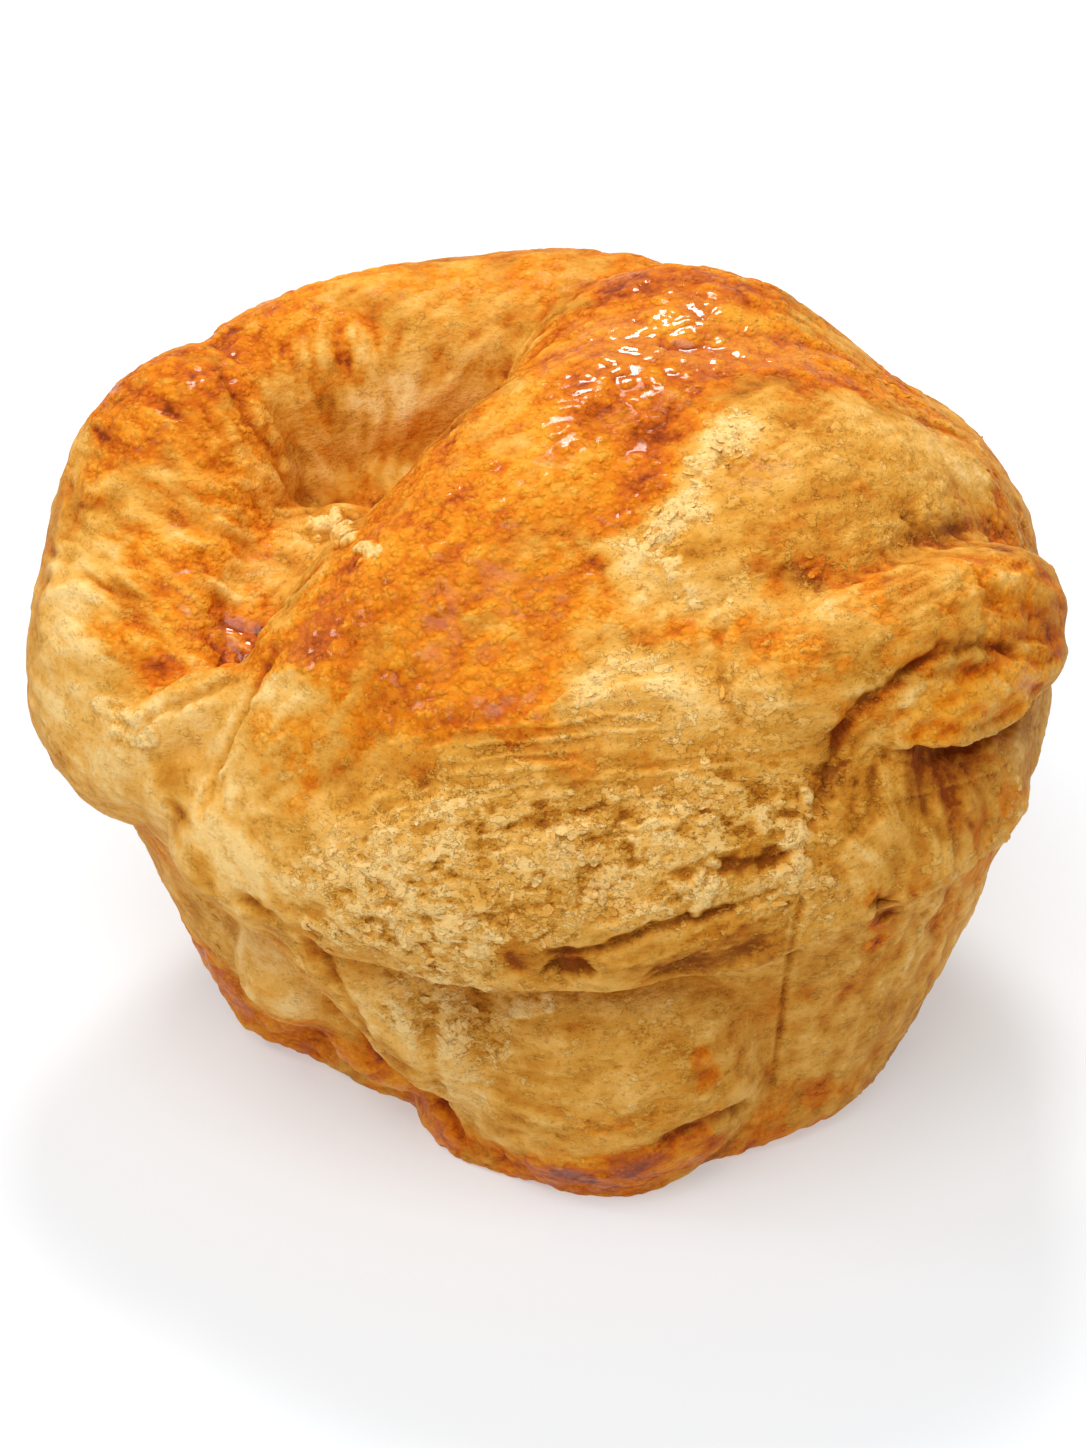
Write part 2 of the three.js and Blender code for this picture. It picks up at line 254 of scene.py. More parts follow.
def roll(rows, bluntness=3, along=64, around=48):
    """A roll of dough: its width lies along the surface, its thickness points out from CORE."""
    t = (1 - np.cos(np.linspace(0, np.pi, along + 1))) / 2
    at = spline(rows, t)
    tangent = unit((spline(rows, np.minimum(t + 1e-3, 1)) - spline(rows, np.maximum(t - 1e-3, 0)))[:, :3])
    outward = at[:, :3] - CORE
    outward = unit(outward - (outward * tangent).sum(1)[:, None] * tangent)
    sideways = np.cross(tangent, outward)
    end = (1 - np.abs(2 * t - 1) ** bluntness).clip(0) ** (1 / bluntness)
    turn = np.linspace(0, 2 * np.pi, around, endpoint=False)[None, :, None]
    wide = (end * at[:, 3])[:, None, None] * np.cos(turn) * sideways[:, None]
    thick = (end * at[:, 4])[:, None, None] * np.sin(turn) * outward[:, None]
    return closed_rings(at[:, None, :3] + wide + thick)


def turn_between(start, end):
    return (end - start + 180) % 360 - 180


def base(along=72, around=160):
    """The baked base: a turned profile, drawn in at the left front and behind the front pocket."""
    def wall(height):
        return HEEL_RADIUS - ROUNDED_IN + WALL_FLARE * height

    outline = [
        (BASE_RADIUS, 0), (HEEL_RADIUS, 2), (wall(5), 5), (wall(WALL_TOP / 2), WALL_TOP / 2),
        (MOUTH_RADIUS - ROUNDED_IN, WALL_TOP),
        (MOUTH_RADIUS, WALL_TOP + 3.5), (MOUTH_RADIUS - 3, LID_SEAT - 1.2), (MOUTH_RADIUS - 12, LID_SEAT),
    ]
    outline = spline(outline, np.linspace(0, 1, along + 1))
    radius = np.concatenate([[0], outline[:, 0], [0]])[:, None]
    height = np.concatenate([[0], outline[:, 1].clip(0), [LID_SEAT]])[:, None]
    turn = np.linspace(0, 2 * np.pi, around, endpoint=False)[None]

    def near(recess, power):
        return np.exp(-np.abs(turn_between(recess["azimuth"], np.degrees(turn)) / recess["spread"]) ** power)

    low = 1 - (height / SIDE_RECESS["top"]).clip(0, 1) ** 2
    high = (height / FRONT_RECESS["from"]).clip(0, 1) ** 0.7
    at_crease = np.exp(-(((height - CREASE["height"]) / CREASE["width"]) ** 2))
    drawn = SIDE_RECESS["depth"] * near(SIDE_RECESS, 2) * low
    drawn = drawn + FRONT_RECESS["depth"] * near(FRONT_RECESS, 4) * high
    drawn = drawn + CREASE["depth"] * near(CREASE, 4) * at_crease
    radius = radius * (1 - drawn / np.maximum(radius, BASE_RADIUS))
    rings = np.stack([radius * np.cos(turn), radius * np.sin(turn), height + 0 * turn], -1)
    verts, faces = closed_rings(rings)
    return verts, [face[::-1] for face in faces]


def far_side(rays, centre, half_sizes):
    """Distance along rays from LID_CENTRE to the far side of an ellipsoid, or 0 where they miss."""
    start = (LID_CENTRE - centre) / half_sizes
    step = rays / half_sizes
    squared = (step * step).sum(1)
    across = (step * start).sum(1)
    inside = across**2 - squared * ((start * start).sum() - 1)
    return np.where(inside > 0, (np.sqrt(inside.clip(0)) - across) / squared, 0).clip(0)


def blended_max(a, b, width):
    near = (width - np.abs(a - b)).clip(0) / width
    return np.maximum(a, b) + near**2 * width / 4


def lid(along=150, around=220, chain=40):
    """One smooth mound: the far sides of its ellipsoids and rolls, blended into each other."""
    verts, faces = closed_rings(ball_rings(along, around))
    rays = unit(verts)
    reach = np.full(len(rays), float(LID_CORE))
    for centre, half_sizes in LID_MOUNDS:
        reach = blended_max(reach, far_side(rays, np.array(centre), np.array(half_sizes)), LID_BLEND)
    for rows in LID_ROLLS.values():
        balls = spline(rows, np.linspace(0, 1, chain))
        furthest = np.max([far_side(rays, at[:3], at[3]) for at in balls], axis=0)
        reach = blended_max(reach, furthest, LID_ROLL_BLEND)
    azimuth = np.degrees(np.arctan2(rays[:, 1], rays[:, 0]))
    near = np.exp(-((turn_between(LID_FLOOR["azimuth"], azimuth) / LID_FLOOR["spread"]) ** 4))
    level = LID_FLOOR["around"] + (LID_FLOOR["front"] - LID_FLOOR["around"]) * near
    low = rays[:, 2] < 0
    reach[low] = np.minimum(reach[low], (LID_CENTRE[2] - level[low]) / -rays[low, 2])
    return LID_CENTRE + rays * reach[:, None], faces


def mound(centre, half_sizes, along=40, around=48):
    verts, faces = closed_rings(ball_rings(along, around))
    return verts * half_sizes + centre, faces


def joined(parts):
    """One mesh of several closed skins, millimetres in and metres out."""
    verts = []
    faces = []
    start = 0
    for part_verts, part_faces in parts:
        verts.append(part_verts * MM)
        faces += [tuple(start + corner for corner in face) for face in part_faces]
        start += len(part_verts)
    mesh = bpy.data.meshes.new("dough")
    mesh.from_pydata(np.vstack(verts).tolist(), [], faces)
    return mesh


def finished(thing):
    """The thing's mesh with its modifiers made real."""
    graph = bpy.context.evaluated_depsgraph_get()
    mesh = bpy.data.meshes.new_from_object(thing.evaluated_get(graph))
    thing.modifiers.clear()
    thing.data = mesh
    return mesh


skins = [base(), lid()]
skins += [mound(*sizes) for sizes in MOUNDS.values()]
skins += [roll(rows) for rows in ROLLS.values()]
dough = add("dough", joined(skins))
for side, passes in SKINS:
    remesh = dough.modifiers.new("one skin", "REMESH")
    remesh.mode = "VOXEL"
    remesh.voxel_size = side * MM
    rounding = dough.modifiers.new("rounded seams", "SMOOTH")
    rounding.factor = 0.5
    rounding.iterations = passes
skin = finished(dough)

# ---- Folds and layer edges --------------------------------------------------------------------
# Puff pastry opens in layers as it bakes. Folds stay as deep lines between the rolls, torn layer
# edges stand out across the front, and the skin is drawn into streaks where it was stretched.
# Each line is a path of photograph pixels, laid on the skin along the camera's rays.
def read(items, name, kind=float, width=3):
    """One property of all the skin's vertices, edges or face corners, as an array."""
    values = np.empty(len(items) * width, np.float32 if kind is float else np.int32)
    items.foreach_get(name, values)
    return values.reshape(-1, width).astype(kind)


places = read(skin.vertices, "co") / MM
normals = read(skin.vertex_normals, "vector")
sides = read(skin.edges, "vertices", int, 2)
quads = read(skin.loops, "vertex_index", int, 1).reshape(-1, 4)
corners = np.vstack([quads[:, [0, 2]], quads[:, [1, 3]]])


def spread(values, passes, links=sides, weights=None):
    """Values evened out over the skin, each pass a mean with the neighbours."""
    a, b = links.T
    if weights is None:
        weights = np.ones(len(links))
    whole = 1 + np.bincount(a, weights, len(values)) + np.bincount(b, weights, len(values))
    for _ in range(passes):
        near = np.bincount(a, weights * values[b], len(values))
        near += np.bincount(b, weights * values[a], len(values))
        values = (values + near) / whole
    return values


def lattice(cell, seed):
    """A repeatable number from 0 to 1 for each cell of a lattice."""
    mixed = cell[..., 0] * 374761393 + cell[..., 1] * 668265263 + cell[..., 2] * 1274126177 + seed * 69069
    mixed = (mixed ^ (mixed >> 13)) * 1103515245
    mixed = mixed ^ (mixed >> 16)
    return (mixed & 0xFFFFF) / 0xFFFFF


# turns the lattice, so that its rows follow no axis of the pie
SLANT = np.array(((0.36, 0.48, -0.8), (-0.8, 0.6, 0.0), (0.48, 0.64, 0.6)))


def noise(points, size, seed):
    """Smooth noise from -1 to 1, with bumps about size across."""
    scaled = points @ SLANT / size + 17.3 * seed
    cell = np.floor(scaled).astype(np.int64)
    f = scaled - cell
    f = f**3 * (f * (f * 6 - 15) + 10)
    total = np.zeros(len(points))
    for corner in np.ndindex(2, 2, 2):
        weight = np.prod(np.where(corner, f, 1 - f), axis=1)
        total += weight * lattice(cell + corner, seed)
    return 2 * total - 1


def rough_noise(points, size, seed, octaves=3):
    return sum(noise(points, size / 2**k, seed + k) / 2**k for k in range(octaves))


def ray(px, py):
    """Direction from the eye through a pixel of the photograph."""
    across = (px - PHOTO_WIDTH / 2) / FOCAL
    down = (py - PHOTO_HEIGHT / 2) / FOCAL
    return Vector(RIGHT * across - UP * down - BACK).normalized()


def trace(path, step=3.0):
    """The skin under a path of photograph pixels: points, outward normals, directions and sideways."""
    path = np.asarray(path, float)
    length = np.linalg.norm(np.diff(path, axis=0), axis=1).sum()
    dots = spline(path, np.linspace(0, 1, max(int(length / step), 1) + 1)) if len(path) > 1 else path
    hits = [dough.ray_cast(Vector(EYE), ray(px, py)) for px, py in dots]
    hits = [(place / MM, normal) for hit, place, normal, _ in hits if hit]
    points = np.array([place for place, _ in hits])
    outward = unit(np.array([normal for _, normal in hits]))
    if len(points) > 1:
        direction = unit(np.gradient(points, axis=0) + 1e-9)
    else:
        direction = np.array([RIGHT])
    return points, outward, direction, np.cross(outward, direction)


def beside(line, reach):
    """For the skin within reach of a traced line: which vertices, distance, signed distance to its
    left as seen from outside, and how far along it they lie, from 0 to 1."""
    points, outward, _, left = line
    low = points.min(axis=0) - reach
    high = points.max(axis=0) + reach
    near = np.flatnonzero(((places > low) & (places < high)).all(axis=1))
    nearest = np.zeros(len(near), int)
    least = np.full(len(near), np.inf)
    for k, point in enumerate(points):
        distance = ((places[near] - point) ** 2).sum(axis=1)
        closer = distance < least
        least[closer] = distance[closer]
        nearest[closer] = k
    kept = (least < reach**2) & ((normals[near] * outward[nearest]).sum(axis=1) > -0.2)
    near, nearest, least = near[kept], nearest[kept], least[kept]
    signed = ((places[near] - points[nearest]) * left[nearest]).sum(axis=1)
    return near, np.sqrt(least), signed, nearest / max(len(points) - 1, 1)


def taper(along, ends=0.18):
    """1 along the middle of a line, and down to 0 at both its ends."""
    edge = (np.minimum(along, 1 - along) / ends).clip(0, 1)
    return edge * edge * (3 - 2 * edge)


def step_up(values, start, width):
    rise = ((values - start) / width).clip(0, 1)
    return rise * rise * (3 - 2 * rise)


relief = np.zeros(len(places))  # millimetres outward

# path, depth and half width in millimetres
FOLDS = {
    "flap over hollow": ([(283, 642), (262, 668), (246, 700), (226, 745), (206, 790), (195, 835)], 0.8, 0.7),
    "rim notch": ([(205, 345), (240, 400), (280, 460), (300, 500), (340, 515), (372, 520)], 0.7, 1.2),
    "under the lid": (
        [(530, 948), (560, 955), (600, 950), (650, 930), (700, 915), (750, 900), (790, 880)], 0.9, 0.5,
    ),
    "deep end": ([(545, 965), (568, 975), (592, 965)], 1.8, 1.2),
    "under the lip": ([(640, 985), (690, 968), (735, 955), (775, 938)], 0.9, 1.5),
    "torn gap": ([(690, 880), (730, 866), (770, 858), (800, 850)], 1.3, 0.7),
    "rope over": ([(136, 738), (150, 717), (189, 697), (255, 674)], 0.7, 0.6),
    "filling hole": ([(872, 900), (884, 908), (890, 920)], 1.1, 0.8),
    "heel cut": ([(655, 1150), (690, 1128), (730, 1112), (752, 1105)], 1.0, 0.8),
    "pocket left": ([(434, 1000), (430, 1050), (440, 1100), (470, 1150)], 0.8, 0.8),
    "pocket right": ([(803, 885), (796, 930), (786, 985), (780, 1040), (770, 1110)], 0.5, 0.3),
    "scroll groove": ([(880, 700), (912, 674), (935, 654), (964, 645), (996, 647), (1028, 652)], 1.1, 0.6),
    "scroll hollow": ([(950, 622), (980, 610), (1005, 600)], 0.5, 1.6),
    "valley": ([(932, 652), (900, 680), (862, 712), (838, 750), (822, 800), (803, 850)], 0.9, 0.9),
    "behind the scroll": ([(862, 578), (900, 548), (940, 530), (985, 528), (1020, 540)], 0.7, 1.3),
    "under the scroll": ([(862, 752), (910, 752), (960, 745), (1005, 730), (1035, 708)], 1.2, 0.8),
    "saddle": ([(620, 560), (650, 590), (690, 600), (735, 590), (780, 575), (830, 565)], 0.5, 1.5),
    "saddle crack": ([(722, 610), (718, 650), (728, 700), (745, 740)], 0.5, 0.6),
    "nose under": ([(222, 900), (255, 908), (317, 950), (336, 985), (378, 1051), (434, 1078)], 0.6, 0.8),
    "cap wrinkle": ([(640, 330), (680, 345), (720, 340)], 0.4, 0.7),
}
# how deep each vertex lies in a fold; further on it darkens the tone there, as painted shade in the folds
fold_shade = np.zeros(len(places))  # how deep in a fold, from 0 to about 1
for path, depth, width in FOLDS.values():
    near, distance, _, along = beside(trace(path), 3 * width)
    uneven = distance * (1 + 0.3 * noise(places[near], 1.3, 3)) + 0.35 * width * noise(places[near], 0.8, 4)
    share = depth * (0.85 + 0.4 * noise(places[near], 3.0, 2))
    relief[near] -= share * np.exp(-((uneven / width) ** 2)) * taper(along)
    shaded = np.exp(-((distance / (1.3 * width)) ** 2)) * taper(along) * min(depth, 1)
    fold_shade[near] = np.maximum(fold_shade[near], shaded)

# path with the raised side on its left as drawn, height, and how far the raised side runs back
LEDGES = {
    "torn edge": (
        [(806, 842), (770, 852), (730, 860), (690, 874), (655, 900), (620, 918), (560, 940)], 0.8, 2.0,
    ),
    "lower lip": ([(800, 892), (750, 916), (700, 936), (640, 958), (590, 962)], 0.5, 1.0),
    "upper layer": ([(720, 690), (640, 682), (560, 700), (500, 740)], 0.4, 1.6),
    "long layer": ([(850, 742), (760, 762), (640, 770), (520, 762), (380, 776)], 0.35, 2.0),
    "lowest layer": ([(800, 812), (700, 822), (600, 822), (520, 846), (440, 850)], 0.35, 2.2),
    "scroll lip": ([(1040, 694), (996, 720), (940, 738), (862, 744)], 1.1, 2.2),
    "wall edge": ([(900, 800), (870, 830), (830, 860), (806, 885)], 0.4, 1.5),
}
for path, height, back in LEDGES.values():
    near, distance, signed, along = beside(trace(path), 2.2 * back)
    ragged = signed + 0.35 * noise(places[near], 1.8, 5) + 0.25 * noise(places[near], 0.8, 6)
    lip = (1 / (1 + np.exp(-ragged / 0.12))) * np.exp(-ragged.clip(0) / back)
    relief[near] += height * lip * taper(along)

# path, height and half width in millimetres of single flakes and crumbs that stand off the skin
SCALES = {
    "big flake": ([(712, 868), (704, 884), (698, 906)], 0.9, 1.1),
    "fringe": ([(806, 792), (812, 812)], 0.7, 0.6),
    "fringe middle": ([(800, 822), (806, 838)], 0.8, 0.7),
    "fringe low": ([(790, 846), (802, 862)], 0.7, 0.8),
    "rope flake": ([(98, 702), (126, 716), (150, 736)], 0.6, 0.7),
    "rope flake low": ([(112, 730), (140, 742)], 0.5, 0.6),
    "hollow crumb": ([(318, 528), (334, 520)], 1.0, 1.1),
    "hollow crumb middle": ([(344, 532), (352, 540)], 0.9, 0.9),
    "hollow crumb low": ([(362, 548), (372, 556)], 0.8, 0.8),
    "cap crumb": ([(728, 430), (736, 442)], 0.5, 0.9),
    "cap crumb low": ([(712, 454), (706, 470)], 0.5, 0.9),
    "saddle crumb": ([(668, 522), (660, 536)], 0.4, 0.9),
    "saddle ridge": ([(626, 548), (650, 556), (672, 566)], 0.4, 0.7),
    "front flake": ([(520, 1012), (548, 1004)], 0.5, 0.8),
    "front flake left": ([(372, 842), (392, 834)], 0.5, 0.8),
    "front flake middle": ([(492, 822), (520, 812)], 0.4, 0.9),
    "front flake right": ([(640, 842), (668, 838)], 0.4, 0.9),
}
pale = np.zeros(len(places))
for path, height, width in SCALES.values():
    near, distance, _, _ = beside(trace(path), 2.2 * width)
    ragged = distance * (1 + 0.5 * noise(places[near], 0.9, 7)) + 0.35 * noise(places[near], 0.6, 8)
    share = ((width - ragged) / 0.3).clip(0, 1)
    relief[near] += height * share * (0.5 + 0.3 * noise(places[near], 0.7, 9))
    pale[near] = np.maximum(pale[near], share)

# ---- Grain ------------------------------------------------------------------------------------
# The grain of the dough follows the way it was stretched. Each stroke gives that direction for
# the skin around it; elsewhere the grain runs round the pie.
GRAIN = [
    [(60, 560), (140, 600), (240, 670)], [(90, 470), (170, 500), (260, 530)],
    [(60, 690), (110, 740), (180, 830)],
    [(255, 680), (180, 715), (135, 770)], [(230, 860), (215, 800), (260, 700)],
    [(280, 650), (380, 600), (480, 520), (560, 420)], [(300, 760), (420, 700), (540, 620), (640, 520)],
    [(400, 780), (520, 750), (660, 735), (800, 725)], [(330, 860), (480, 850), (640, 850), (800, 830)],
    [(300, 900), (400, 950), (500, 1000)], [(560, 900), (680, 880), (800, 850)],
    [(640, 520), (720, 480), (800, 430)], [(800, 520), (880, 480), (960, 450)],
    [(860, 380), (950, 440), (1020, 520)],
    [(740, 600), (820, 580), (900, 560), (1000, 560)], [(880, 640), (950, 600), (1040, 600)],
    [(870, 730), (950, 690), (1040, 670)], [(760, 680), (820, 640), (880, 600)],
    [(230, 420), (290, 480), (360, 510)], [(330, 350), (350, 430), (370, 500)],
    [(480, 320), (440, 400), (390, 480)],
    [(300, 300), (420, 265), (560, 250)], [(600, 300), (700, 290), (800, 330)],
    [(860, 800), (880, 900), (860, 1000)], [(900, 780), (940, 860), (930, 960)],
    [(800, 950), (790, 1050), (770, 1120)],
    [(470, 1060), (560, 1090), (680, 1050)], [(500, 1150), (600, 1165), (720, 1130)],
    [(210, 960), (260, 1000), (340, 1030)], [(170, 890), (200, 960), (260, 1020), (360, 1070)],
]
GRAIN_REACH = 5.0

around = np.cross((0.0, 0.0, 1.0), places - CORE)
astray = np.stack([noise(places, 14, 31 + k) for k in range(3)], 1)
around += 0.6 * np.linalg.norm(around, axis=1)[:, None] * astray
flow = unit(around + 1e-6) * 0.02
for path in GRAIN:
    line = trace(path, 14)
    near, distance, _, along = beside(line, 2.2 * GRAIN_REACH)
    direction = line[2][np.rint(along * (len(line[0]) - 1)).astype(int)]
    same_way = np.sign((direction * flow[near]).sum(axis=1) + 1e-9)
    flow[near] += direction * (same_way * np.exp(-((distance / GRAIN_REACH) ** 2)))[:, None]
flow -= (flow * normals).sum(axis=1)[:, None] * normals
flow = unit(flow + 1e-9)

links = np.vstack([sides, corners])
chord = places[links[:, 1]] - places[links[:, 0]]
length = np.linalg.norm(chord, axis=1) + 1e-9
# links that lie along the grain carry, links across it hardly do
aligned = np.abs((chord * flow[links[:, 0]]).sum(axis=1) / length).clip(0, 1) ** 8


def streaks(size, seed, passes):
    """Noise drawn out along the grain."""
    drawn = spread(noise(places, size, seed), passes, links, aligned)
    return drawn / drawn.std()


fine_streaks = streaks(0.45, 41, 12)
broad_streaks = streaks(1.1, 42, 30)

# ---- Browning ---------------------------------------------------------------------------------
# The oven browned the lid where it stood highest, and the egg wash ran and dried there in a
# thin glossy coat. Torn and shaded dough stayed pale and dry. Each dab below lays one such
# patch on the skin, from photograph pixels, over what the rule gives for the sides out of view.
# Some dabs are painted shade instead: darker tone in creases, gaps and under overhangs.

# tone runs from 0, pale cream, to 1, dark brown. wash is the share of glossy egg wash, and flaky
# how torn the skin is. Each has a mean, an unevenness, a patch size in millimetres and a seed.
OUT_OF_VIEW = {"tone": (0.49, 0.10, 7, 51), "wash": (0.25, 0.3, 9, 54), "flaky": (0.25, 0.25, 8, 57)}
BROWN_FROM = 38  # millimetres of height
BROWN_OVER = 12
BROWN_HEEL = 6
tone, wash, flaky = (
    mean + uneven * rough_noise(places, size, seed) for mean, uneven, size, seed in OUT_OF_VIEW.values()
)
height = places[:, 2]
top = ((height - BROWN_FROM) / BROWN_OVER).clip(0, 1)
heel = (1 - height / BROWN_HEEL).clip(0, 1)
tone += 0.18 * top + 0.28 * heel
wash += 0.35 * top + 0.3 * heel

THICKEST_WASH = 1.3
# path, reach in millimetres, tone, wash, flaky
DABS = [
    # broad zones
    ([(480, 860), (640, 850), (760, 830)], 8, 0.42, 0.0, 1.0),
    ([(380, 900), (460, 930)], 8, 0.30, 0.0, 1.0),
    ([(560, 1040), (640, 1040)], 8, 0.46, 0.15, 0.35),
    ([(860, 960), (850, 1060)], 8, 0.52, 0.25, 0.3),
    ([(540, 720), (680, 700), (760, 720)], 4.5, 0.40, 0.1, 0.5),
    ([(740, 470), (800, 440), (900, 450)], 7, 0.50, 0.15, 0.4),
    ([(660, 560), (700, 560)], 5, 0.50, 0.2, 0.3),
    ([(860, 520), (940, 510)], 4, 0.56, 0.1, 0.4),
    ([(380, 420), (330, 440), (460, 390)], 7, 0.36, 0.3, 0.1),
    ([(300, 560), (330, 540)], 4, 0.36, 0.15, 0.4),
    ([(520, 330), (440, 340)], 5, 0.46, 0.3, 0.1),
    # egg wash
    ([(310, 670), (345, 625)], 6, 0.84, 1.3, 0.0),
    ([(380, 590), (440, 520), (500, 460), (560, 400)], 4, 0.58, 0.8, 0.1),
    ([(400, 640), (470, 640), (540, 620)], 6, 0.60, 0.80, 0.1),
    ([(500, 560), (560, 500), (640, 450)], 8, 0.60, 0.80, 0.05),
    ([(520, 450), (560, 480), (600, 470)], 3.2, 0.44, 0.7, 0.1),
    ([(590, 395), (640, 405), (670, 425), (660, 470)], 3.4, 0.78, 0.9, 0.0),
    ([(470, 440), (520, 395), (570, 350), (615, 312)], 2.0, 0.40, 0.55, 0.1),
    ([(600, 340), (680, 340), (770, 350)], 5.5, 0.64, 1.3, 0.05),
    ([(640, 280), (700, 285), (760, 300)], 4, 0.84, 1.0, 0.0),
    ([(370, 700), (440, 690), (520, 690)], 4.5, 0.60, 0.80, 0.1),
    ([(300, 730), (260, 780)], 4.5, 0.44, 0.6, 0.2),
    ([(560, 770), (640, 772)], 1.6, 0.66, 0.4, 0.3),
    ([(400, 760), (520, 755), (600, 745)], 1.4, 0.56, 0.4, 0.4),
    ([(120, 620), (190, 635), (240, 660)], 5, 0.62, 0.75, 0.3),
    ([(205, 625), (245, 655)], 2.4, 0.70, 1.2, 0.1),
    ([(160, 530), (230, 540)], 5, 0.55, 0.8, 0.1),
    ([(110, 470), (180, 470), (240, 490)], 4, 0.52, 0.6, 0.2),
    ([(150, 400), (185, 400)], 4.5, 0.78, 0.8, 0.1),
    ([(200, 430), (230, 430)], 3, 0.66, 0.6, 0.1),
    ([(300, 380), (320, 400)], 4, 0.54, 0.4, 0.1),
    ([(330, 290), (450, 275), (600, 270)], 4, 0.54, 0.6, 0.05),
    ([(820, 330), (900, 380), (980, 440), (1030, 510)], 3.2, 0.52, 0.4, 0.15),
    ([(790, 620), (840, 620)], 4, 0.50, 0.4, 0.4),
    ([(920, 600), (970, 580), (1030, 590)], 4.5, 0.56, 0.6, 0.3),
    ([(1050, 600), (1055, 640)], 3, 0.74, 0.8, 0.1),
    ([(950, 690), (1020, 690)], 3, 0.54, 0.5, 0.4),
    # painted shadow under the scroll's lip
    ([(930, 775), (960, 790)], 4, 0.90, 0.4, 0.1),
    ([(200, 950), (240, 1000), (320, 1040), (400, 1090), (440, 1130)], 3.2, 0.70, 0.9, 0.0),
    ([(770, 1120), (820, 1110), (760, 1145)], 3.4, 0.66, 0.6, 0.1),
    ([(520, 1175), (620, 1175), (700, 1150)], 3, 0.74, 0.9, 0.1),
    # painted shade: under the lid's front edge, and in the deep crease at its left end
    ([(620, 960), (700, 965), (760, 950)], 3, 0.66, 0.1, 0.2),
    ([(520, 960), (570, 965)], 2, 0.88, 0.3, 0.3),
    ([(500, 895), (545, 905)], 3, 0.58, 0.0, 0.9),
    ([(930, 640), (1000, 632)], 1.6, 0.78, 0.7, 0.1),
    ([(860, 815), (885, 830)], 2.6, 0.70, 0.1, 0.3),
    # pale dough
    ([(220, 760), (210, 820), (240, 870)], 3.6, 0.20, 0.1, 0.1),
    ([(880, 420), (930, 450), (970, 480)], 3.2, 0.28, 0.05, 0.2),
    ([(360, 1000), (400, 1030), (440, 1060)], 2.4, 0.20, 0.05, 0.2),
    ([(446, 1030), (462, 1090)], 3.0, 0.06, 0.05, 0.4),
    ([(930, 715), (980, 692), (1030, 680)], 2.2, 0.38, 0.9, 0.2),
    ([(160, 724), (215, 712)], 2.6, 0.08, 0.05, 0.2),
    ([(225, 850), (236, 880)], 2.4, 0.10, 0.05, 0.1),
    ([(255, 940), (285, 975)], 3.2, 0.12, 0.05, 0.3),
    ([(270, 690), (300, 700)], 2.4, 0.22, 0.2, 0.2),
    ([(110, 760), (150, 800), (60, 690)], 5, 0.20, 0.05, 0.15),
    ([(190, 730), (230, 700)], 3, 0.24, 0.1, 0.1),
    ([(90, 560), (60, 620)], 3.4, 0.20, 0.1, 0.2),
    ([(590, 690), (640, 670), (690, 690)], 2, 0.14, 0.05, 0.5),
    ([(735, 430), (715, 460), (695, 500), (670, 525), (635, 548)], 2.3, 0.06, 0.0, 0.8),
    ([(630, 560), (655, 590), (720, 602)], 2.4, 0.10, 0.0, 0.4),
    ([(410, 1010), (480, 1030)], 2.6, 0.34, 0.0, 1.0),
    ([(250, 960), (290, 970)], 4, 0.24, 0.1, 0.2),
    ([(370, 400), (400, 390)], 1.8, 0.18, 0.1, 0.2),
    ([(450, 1080), (470, 1110)], 2.4, 0.20, 0.1, 0.4),
    # shaded hollows and stained edges
    ([(172, 784), (178, 812)], 1.6, 0.66, 0.1, 0.1),
    ([(736, 492), (750, 510)], 2.4, 0.54, 0.1, 0.3),
    ([(684, 552), (700, 548)], 1.4, 0.64, 0.1, 0.3),
    ([(366, 486), (374, 496)], 2.2, 0.60, 0.4, 0.1),
    ([(560, 1176), (600, 1172), (640, 1168)], 1.8, 1.0, 1.0, 0.0),
    # filling that shows or has stained the crust
    ([(874, 900), (888, 912)], 1.3, 1.0, 0.7, 0.0),
    ([(878, 925), (874, 945)], 0.9, 0.75, 0.9, 0.0),
    ([(704, 1062), (708, 1076)], 1.0, 0.72, 0.9, 0.0),
    # painted shade: darker in the torn gap and under the lid's front edge
    ([(735, 866), (790, 856)], 1.1, 0.85, 0.1, 0.4),
    ([(690, 962), (750, 950)], 2.2, 0.84, 0.3, 0.4),
]
for path, reach, patch_tone, patch_wash, patch_flaky in DABS:
    near, distance, _, _ = beside(trace(path, 12), 2 * reach)
    uneven = distance * (1 + 0.3 * noise(places[near], 3, 61) + 0.25 * noise(places[near], 1.2, 62))
    share = np.exp(-((uneven / reach) ** 3))
    for field, value in ((tone, patch_tone), (wash, patch_wash), (flaky, patch_flaky)):
        field[near] += (value - field[near]) * share
wash -= 0.30 * step_up(rough_noise(places, 3.2, 63, 2), 0.15, 0.35) * (wash < 1.1)
# painted shade: the tone is darker in the folds
tone += 0.12 * fold_shade - 0.10 * step_up(rough_noise(places, 4.5, 66, 2), 0.1, 0.5) * step_up(wash, 0.3, 0.4)
for field, value in ((tone, 0.12), (wash, 0.0), (flaky, 0.5)):
    field += (value - field) * 0.8 * pale
tone = tone.clip(0, 1)
wash = wash.clip(0, THICKEST_WASH)
flaky = flaky.clip(0, 1)

# ---- Relief -----------------------------------------------------------------------------------
# Over its rolls the skin is uneven at every size: low lumps, ridges along the grain where it was
# drawn out, blisters under the egg wash, thin flakes where it tore, and layers across the front.
DRAWN_ELSEWHERE = 0.3
